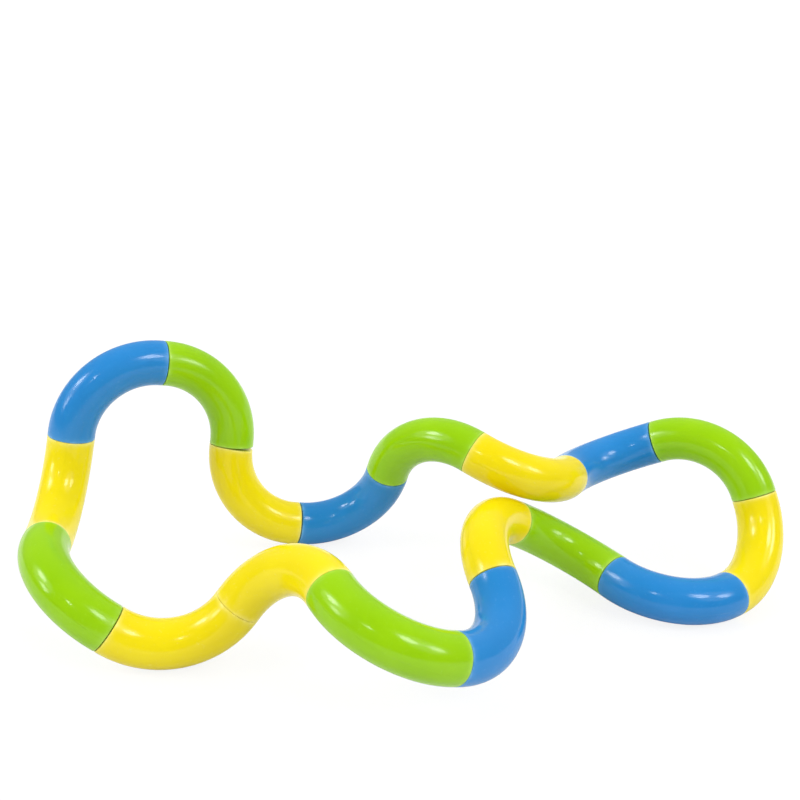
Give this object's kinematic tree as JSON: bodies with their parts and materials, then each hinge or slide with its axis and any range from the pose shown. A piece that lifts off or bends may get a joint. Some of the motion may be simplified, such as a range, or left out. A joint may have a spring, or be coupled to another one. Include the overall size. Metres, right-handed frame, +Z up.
{
  "type": "twisty snake puzzle",
  "caption": "Closed loop of hollow quarter-ring elbows that turn on hidden swivel pins, twisted into a free shape.",
  "frame": {"origin": "middle of the footprint, on the surface that the loop rests on", "axes": "+X along the loop's length, +Y across it towards its far side, +Z up"},
  "size_m": [0.1825, 0.096, 0.0569],
  "materials": {
    "blue_plastic": "glossy moulded blue",
    "green_plastic": "glossy moulded lime green",
    "yellow_plastic": "glossy moulded yellow",
    "pin_plastic": "dark grey, lightly matt"
  },
  "bodies": {
    "segment_01": {"elbow_01_half_a": "blue_plastic", "elbow_01_half_b": "blue_plastic", "swivel_pin_01": "pin_plastic"},
    "segment_02": {"elbow_02_half_a": "green_plastic", "elbow_02_half_b": "green_plastic", "swivel_pin_02": "pin_plastic"},
    "segment_03": {"elbow_03_half_a": "yellow_plastic", "elbow_03_half_b": "yellow_plastic", "swivel_pin_03": "pin_plastic"},
    "segment_04": {"elbow_04_half_a": "blue_plastic", "elbow_04_half_b": "blue_plastic", "swivel_pin_04": "pin_plastic"},
    "segment_05": {"elbow_05_half_a": "green_plastic", "elbow_05_half_b": "green_plastic", "swivel_pin_05": "pin_plastic"},
    "segment_06": {"elbow_06_half_a": "yellow_plastic", "elbow_06_half_b": "yellow_plastic", "swivel_pin_06": "pin_plastic"},
    "segment_07": {"elbow_07_half_a": "blue_plastic", "elbow_07_half_b": "blue_plastic", "swivel_pin_07": "pin_plastic"},
    "segment_08": {"elbow_08_half_a": "green_plastic", "elbow_08_half_b": "green_plastic", "swivel_pin_08": "pin_plastic"},
    "segment_09": {"elbow_09_half_a": "yellow_plastic", "elbow_09_half_b": "yellow_plastic", "swivel_pin_09": "pin_plastic"},
    "segment_10": {"elbow_10_half_a": "blue_plastic", "elbow_10_half_b": "blue_plastic", "swivel_pin_10": "pin_plastic"},
    "segment_11": {"elbow_11_half_a": "green_plastic", "elbow_11_half_b": "green_plastic", "swivel_pin_11": "pin_plastic"},
    "segment_12": {"elbow_12_half_a": "yellow_plastic", "elbow_12_half_b": "yellow_plastic", "swivel_pin_12": "pin_plastic"},
    "segment_13": {"elbow_13_half_a": "blue_plastic", "elbow_13_half_b": "blue_plastic", "swivel_pin_13": "pin_plastic"},
    "segment_14": {"elbow_14_half_a": "green_plastic", "elbow_14_half_b": "green_plastic", "swivel_pin_14": "pin_plastic"},
    "segment_15": {"elbow_15_half_a": "yellow_plastic", "elbow_15_half_b": "yellow_plastic", "swivel_pin_15": "pin_plastic"},
    "segment_16": {"elbow_16_half_a": "yellow_plastic", "elbow_16_half_b": "yellow_plastic", "swivel_pin_16": "pin_plastic"},
    "segment_17": {"elbow_17_half_a": "green_plastic", "elbow_17_half_b": "green_plastic", "swivel_pin_17": "pin_plastic"},
    "segment_18": {"elbow_18_half_a": "yellow_plastic", "elbow_18_half_b": "yellow_plastic", "swivel_pin_18": "pin_plastic"}
  },
  "joints": [
    {"name": "seam_09_swivel", "type": "hinge", "parent": "segment_09", "child": "segment_10", "pos_m": [0.07539, 0.00728, 0.00551], "axis": [0.7759, 0.6306, -0.0151], "range_deg": [-320, 0]},
    {"name": "seam_10_swivel", "type": "hinge", "parent": "segment_10", "child": "segment_11", "pos_m": [0.04773, 0.01013, 0.00715], "axis": [0.6285, -0.7749, -0.0678], "range_deg": [0, 180]},
    {"name": "seam_11_swivel", "type": "hinge", "parent": "segment_11", "child": "segment_12", "pos_m": [0.02265, 0.01421, 0.01859], "axis": [-0.6442, -0.5674, 0.5129], "range_deg": [0, 70]},
    {"name": "seam_12_swivel", "type": "hinge", "parent": "segment_12", "child": "segment_13", "pos_m": [0.01638, -0.01293, 0.0191], "axis": [-0.326, 0.8103, 0.487], "range_deg": [-125, 0]},
    {"name": "seam_13_swivel", "type": "hinge", "parent": "segment_13", "child": "segment_14", "pos_m": [0.00763, -0.03926, 0.01659], "axis": [0.7704, 0.5263, -0.36], "range_deg": [-335, 0]},
    {"name": "seam_14_swivel", "type": "hinge", "parent": "segment_14", "child": "segment_15", "pos_m": [-0.01756, -0.03293, 0.02666], "axis": [-0.5085, 0.8477, 0.1512], "range_deg": [-135, 0]},
    {"name": "seam_15_swivel", "type": "hinge", "parent": "segment_15", "child": "segment_16", "pos_m": [-0.0387, -0.02008, 0.01385], "axis": [-0.5646, -0.1957, -0.8018], "continuous": true},
    {"name": "seam_08_swivel", "type": "hinge", "parent": "segment_09", "child": "segment_08", "pos_m": [0.08427, 0.028, 0.0219], "axis": [0.3254, -0.4206, -0.8468], "range_deg": [0, 315]},
    {"name": "seam_07_swivel", "type": "hinge", "parent": "segment_08", "child": "segment_07", "pos_m": [0.06116, 0.04156, 0.02955], "axis": [0.8473, -0.2678, 0.4586], "range_deg": [-285, 0]},
    {"name": "seam_06_swivel", "type": "hinge", "parent": "segment_07", "child": "segment_06", "pos_m": [0.03679, 0.02911, 0.02436], "axis": [0.3901, 0.8998, -0.1955], "range_deg": [0, 175]},
    {"name": "seam_05_swivel", "type": "hinge", "parent": "segment_06", "child": "segment_05", "pos_m": [0.01238, 0.01993, 0.03416], "axis": [-0.8489, 0.4337, 0.302], "range_deg": [0, 340]},
    {"name": "seam_04_swivel", "type": "hinge", "parent": "segment_05", "child": "segment_04", "pos_m": [-0.00879, 0.0328, 0.02142], "axis": [0.2253, -0.2199, 0.9491], "range_deg": [-145, 0]},
    {"name": "seam_03_swivel", "type": "hinge", "parent": "segment_04", "child": "segment_03", "pos_m": [-0.03188, 0.03164, 0.00587], "axis": [0.9469, 0.2788, -0.1602], "range_deg": [-230, 0]},
    {"name": "seam_02_swivel", "type": "hinge", "parent": "segment_03", "child": "segment_02", "pos_m": [-0.04875, 0.03102, 0.02804], "axis": [-0.0904, -0.2472, -0.9647], "range_deg": [0, 165]},
    {"name": "seam_01_swivel", "type": "hinge", "parent": "segment_02", "child": "segment_01", "pos_m": [-0.06431, 0.02734, 0.05086], "axis": [-0.8799, -0.4339, 0.1937], "continuous": true},
    {"name": "seam_18_swivel", "type": "hinge", "parent": "segment_01", "child": "segment_18", "pos_m": [-0.08448, 0.01595, 0.03539], "axis": [-0.1444, -0.1441, -0.979], "range_deg": [0, 320]},
    {"name": "seam_17_swivel", "type": "hinge", "parent": "segment_18", "child": "segment_17", "pos_m": [-0.08457, -0.00624, 0.01854], "axis": [0.1398, -0.9824, 0.124], "continuous": true}
  ]
}
